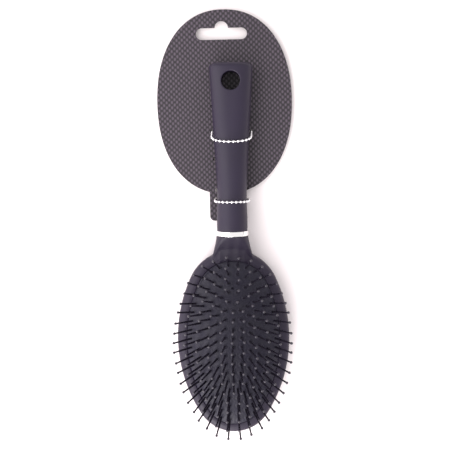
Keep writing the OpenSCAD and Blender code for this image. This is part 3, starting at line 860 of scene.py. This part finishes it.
def make_card():
    """Die-cut card with its hanging slot and tie holes."""
    thick = CARD_HIGH[2] - CARD_LOW[2]
    soft_edge = 0.08
    outlines = [turned_card(card_outline()), turned_card(slot_outline())]
    for x, y in SPARE_HOLES:
        outlines += [turned_card(circle(side * x, y, TIE_HOLE_R, 20)) for side in (-1, 1)]
    for side, tie in ((-1, UPPER_TIE), (1, UPPER_TIE), (-1, LOWER_TIE)):
        y = tie_y(*tie, CARD_LOW[2])
        outlines.append(circle(side * tie_half_w(y - GRIP_Y0), y, TIE_HOLE_R, 32))
    curve = bpy.data.curves.new("card_outline", "CURVE")
    curve.dimensions = "2D"
    curve.fill_mode = "BOTH"
    curve.extrude = (thick / 2 - soft_edge) * MM
    curve.bevel_depth = soft_edge * MM
    curve.bevel_resolution = 1
    curve.offset = -soft_edge * MM
    for outline in outlines:
        spline = curve.splines.new("POLY")
        spline.points.add(len(outline) - 1)
        for point, (x, y) in zip(spline.points, outline):
            point.co = (x * MM, y * MM, 0, 1)
        spline.use_cyclic_u = True
    shape = add_object("card_shape", curve)
    mesh = final_mesh(shape)
    bpy.data.objects.remove(shape)
    mesh.transform(Matrix.Translation((0, 0, (CARD_LOW[2] + thick / 2) * MM)))
    close_seams(add_piece("card", mesh, WOVEN_FILM, ("display_card",)))


# ---------- bead ties ----------

BEAD_PITCH = 2.85
WIRE_R = 0.28
SLEEVE_R = 1.35
SLEEVE_LEN = 7.0
TIE_BEND_R = 1.6


def tie_loop(s, slope):
    """Closed route of a tie round the grip and the card, from under the card's middle."""
    half_w = tie_half_w(s)
    half_t = grip_half_t(s) + BEAD_R + TIE_GAP
    mid_z = GRIP_Z0 + grip_half_t(s)
    bend = np.radians(15 * np.arange(7))
    over = np.radians(5 * np.arange(37))
    right = np.stack([half_w - TIE_BEND_R + TIE_BEND_R * np.sin(bend),
                      SLEEVE_R + TIE_BEND_R - TIE_BEND_R * np.cos(bend)], axis=1)
    power = 2 / grip_roundness(s)
    c = np.cos(over)
    top = np.stack([half_w * np.sign(c) * np.abs(c) ** power,
                    mid_z + half_t * np.abs(np.sin(over)) ** power], axis=1)
    left = right[::-1] * [-1, 1]
    xz = np.concatenate([[[0, SLEEVE_R]], right, top, left, [[0, SLEEVE_R]]])
    y = tie_y(s, slope, xz[:, 1])
    return np.stack([xz[:, 0] * tie_half_w(y - GRIP_Y0) / half_w, y, xz[:, 1]], axis=1)


def make_tie(name, node, s, slope):
    """Ball chain: hollow plated beads with a short stub of wire between each two."""
    route = tie_loop(s, slope)
    run = np.concatenate([[0], np.cumsum(np.linalg.norm(np.diff(route, axis=0), axis=1))])
    count = round(run[-1] / BEAD_PITCH)
    at = run[-1] * (np.arange(count) + 0.5) / count
    beads = np.stack([np.interp(at, run, route[:, k]) for k in range(3)], axis=1)
    dent, mouth_r = 0.12, 1.105 * WIRE_R
    mouth_turn = math.asin(mouth_r / BEAD_R)
    turns = np.linspace(mouth_turn, math.pi - mouth_turn, 11)
    profile = [(-BEAD_R * math.cos(t), BEAD_R * math.sin(t)) for t in turns]
    profile = [(profile[0][0] + dent, WIRE_R), *profile, (profile[-1][0] - dent, WIRE_R)]
    bead, bead_faces = turned(profile, 18), ring_faces(len(profile), 18)
    wire_start = 0.8 * BEAD_R
    parts = []
    for i, spot in enumerate(beads):
        after, before = beads[(i + 1) % count], beads[i - 1]
        parts.append((placed(bead, spot, after - before), bead_faces))
        length = np.linalg.norm(after - spot)
        wire = turned([(wire_start, WIRE_R), (length - wire_start, WIRE_R)], 8)
        parts.append((placed(wire, spot, after - spot), ring_faces(2, 8)))
    points, faces = joined(parts)
    make_piece(name, points, faces, BEAD_CHROME, (node,))


def make_sleeve(name, node, s, slope):
    """Strip rolled into an open sleeve that grips the chain's two end beads."""
    opening = math.radians(24)
    turns = np.linspace(-math.pi / 2 + opening, 1.5 * math.pi - opening, 30)
    inner_r = BEAD_R + 0.05
    mid_r = (SLEEVE_R + inner_r) / 2
    half = SLEEVE_LEN / 2
    lip = 0.12
    stations = [(-half, mid_r, mid_r), (-half, inner_r, SLEEVE_R - lip), (-half + lip, inner_r, SLEEVE_R),
                (half - lip, inner_r, SLEEVE_R), (half, inner_r, SLEEVE_R - lip), (half, mid_r, mid_r)]
    y, z = tie_y(s, slope, SLEEVE_R), SLEEVE_R
    outline = []
    for x, inner, outer in stations:
        loop = [(outer, t) for t in turns] + [(inner, t) for t in turns[::-1]]
        outline.append([[x, y + r * math.cos(t), z - r * math.sin(t)] for r, t in loop])
    faces = ring_faces(len(stations), len(outline[0]), False, False)
    close_seams(make_piece(name, np.concatenate(outline), faces, BEAD_CHROME, (node,)))


# ---------- the studio ----------

def make_floor():
    """Plain white board that the brush lies on."""
    half = 4000.0
    corners = [(-half, -half, 0), (half, -half, 0), (half, half, 0), (-half, half, 0)]
    mesh = mesh_of("floor", corners, [(0, 1, 2, 3)])
    floor = add_object("floor", mesh)
    material, tree, _ = new_material("white_board")
    shader = add(tree, "ShaderNodeBsdfPrincipled", {"Base Color": colour("#FDF6F7"), "Roughness": 0.9,
                                                   "Specular IOR Level": 0.1})
    add(tree, "ShaderNodeOutputMaterial", {"Surface": shader})
    mesh.materials.append(material)


def add_light(name, place, target, size, power, tint):
    light = bpy.data.lights.new(name, "AREA")
    light.size = size
    light.energy = power
    light.color = colour(tint)[:3]
    lamp = add_object(name, light)
    lamp.location = place
    lamp.rotation_mode = "QUATERNION"
    lamp.rotation_quaternion = (Vector(target) - Vector(place)).to_track_quat("-Z", "Y")


def make_studio():
    world = bpy.data.worlds.new("studio")
    world.use_nodes = True
    bpy.context.scene.world = world
    background = world.node_tree.nodes["Background"]
    background.inputs["Color"].default_value = colour("#FFFDFD")
    background.inputs["Strength"].default_value = 1.06
    middle = (0, 0.07, 0)
    add_light("key", (-0.9, 0.15, 0.75), middle, 1.5, 12, "#FFFBFC")
    add_light("fill", (-0.41, -0.87, 0.61), middle, 0.85, 14.2, "#FFFCFD")
    bpy.context.scene.view_settings.view_transform = "Standard"


def make_camera():
    camera = bpy.data.cameras.new("camera")
    camera.sensor_width = 36
    camera.lens = 70.3
    holder = add_object("camera", camera)
    roll = math.radians(-0.6)
    stands = Vector((11.0, 138.8, 561.8)) * MM
    looks_at = Vector((-4.954, 74.8, 0)) * MM
    back = (stands - looks_at).normalized()
    right = Vector((0, 1, 0)).cross(back).normalized()
    turn = Matrix((right, back.cross(right), back)).transposed().to_4x4()
    holder.matrix_world = turn @ Matrix.Rotation(roll, 4, "Z")
    holder.location = stands
    bpy.context.scene.camera = holder


make_camera()
make_studio()
make_floor()
make_head_and_grip()
pin_feet = make_pins()
cushion = make_cushion(np.concatenate(list(pin_feet.values())))
make_cushion_edge()
make_ring()
make_card()
make_tie("upper_chain", "upper_tie_chain", *UPPER_TIE)
make_tie("lower_chain", "lower_tie_chain", *LOWER_TIE)
make_sleeve("upper_sleeve", "upper_tie_sleeve", *UPPER_TIE)
make_sleeve("lower_sleeve", "lower_tie_sleeve", *LOWER_TIE)
carrier = frame["nodes"]["pad_carrier"]
carrier.data.materials.clear()
carrier.data.materials.append(CARRIER_ABS)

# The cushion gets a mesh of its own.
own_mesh(cushion)
